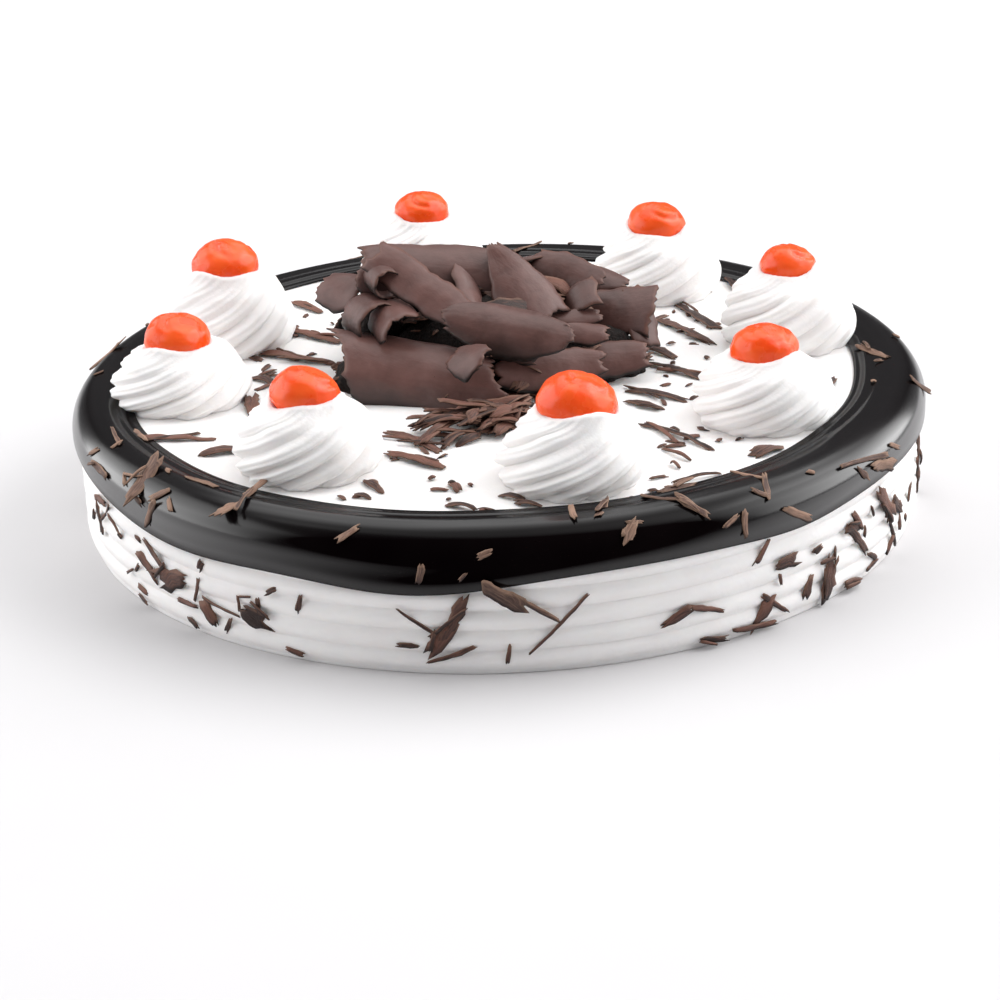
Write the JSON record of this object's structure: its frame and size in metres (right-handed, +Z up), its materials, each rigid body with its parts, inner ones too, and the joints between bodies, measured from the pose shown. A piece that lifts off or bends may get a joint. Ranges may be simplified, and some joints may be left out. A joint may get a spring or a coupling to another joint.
{
  "type": "black forest cake",
  "caption": "Round cream cake with combed sides, a dark chocolate glaze over its rim, piped rosettes topped with glace cherries and a pile of chocolate curls in the middle.",
  "frame": {"origin": "centre of the cake's flat underside", "axes": "+Z up, -Y towards the side that the picture shows, +X to the right seen from there"},
  "size_m": [0.2378, 0.2377, 0.0744],
  "materials": {
    "cream": "soft satin whipped cream",
    "glaze": "wet gloss dark chocolate glaze",
    "cherry": "syrupy gloss, slightly translucent",
    "curls": "satin shaved chocolate",
    "shavings": "dull broken chocolate"
  },
  "bodies": {
    "root": {"cream_cake": "cream", "chocolate_glaze": "glaze", "rosette_1": "cream", "cherry_1": "cherry", "rosette_2": "cream", "cherry_2": "cherry", "rosette_3": "cream", "cherry_3": "cherry", "rosette_4": "cream", "cherry_4": "cherry", "rosette_5": "cream", "cherry_5": "cherry", "rosette_6": "cream", "cherry_6": "cherry", "rosette_7": "cream", "cherry_7": "cherry", "rosette_8": "cream", "cherry_8": "cherry", "curl_1": "curls", "curl_2": "curls", "curl_3": "curls", "curl_4": "curls", "curl_5": "curls", "curl_6": "curls", "curl_7": "curls", "curl_8": "curls", "curl_9": "curls", "curl_10": "curls", "curl_11": "curls", "curl_12": "curls", "curl_13": "curls", "curl_14": "curls", "curl_15": "curls", "curl_16": "curls", "curl_17": "curls", "curl_18": "curls", "curl_19": "curls", "curl_20": "curls", "curl_21": "curls", "curl_22": "curls", "curl_23": "curls", "curl_24": "curls", "curl_25": "curls", "shavings_mound": "shavings", "shavings_foot": "shavings"}
  },
  "joints": []
}
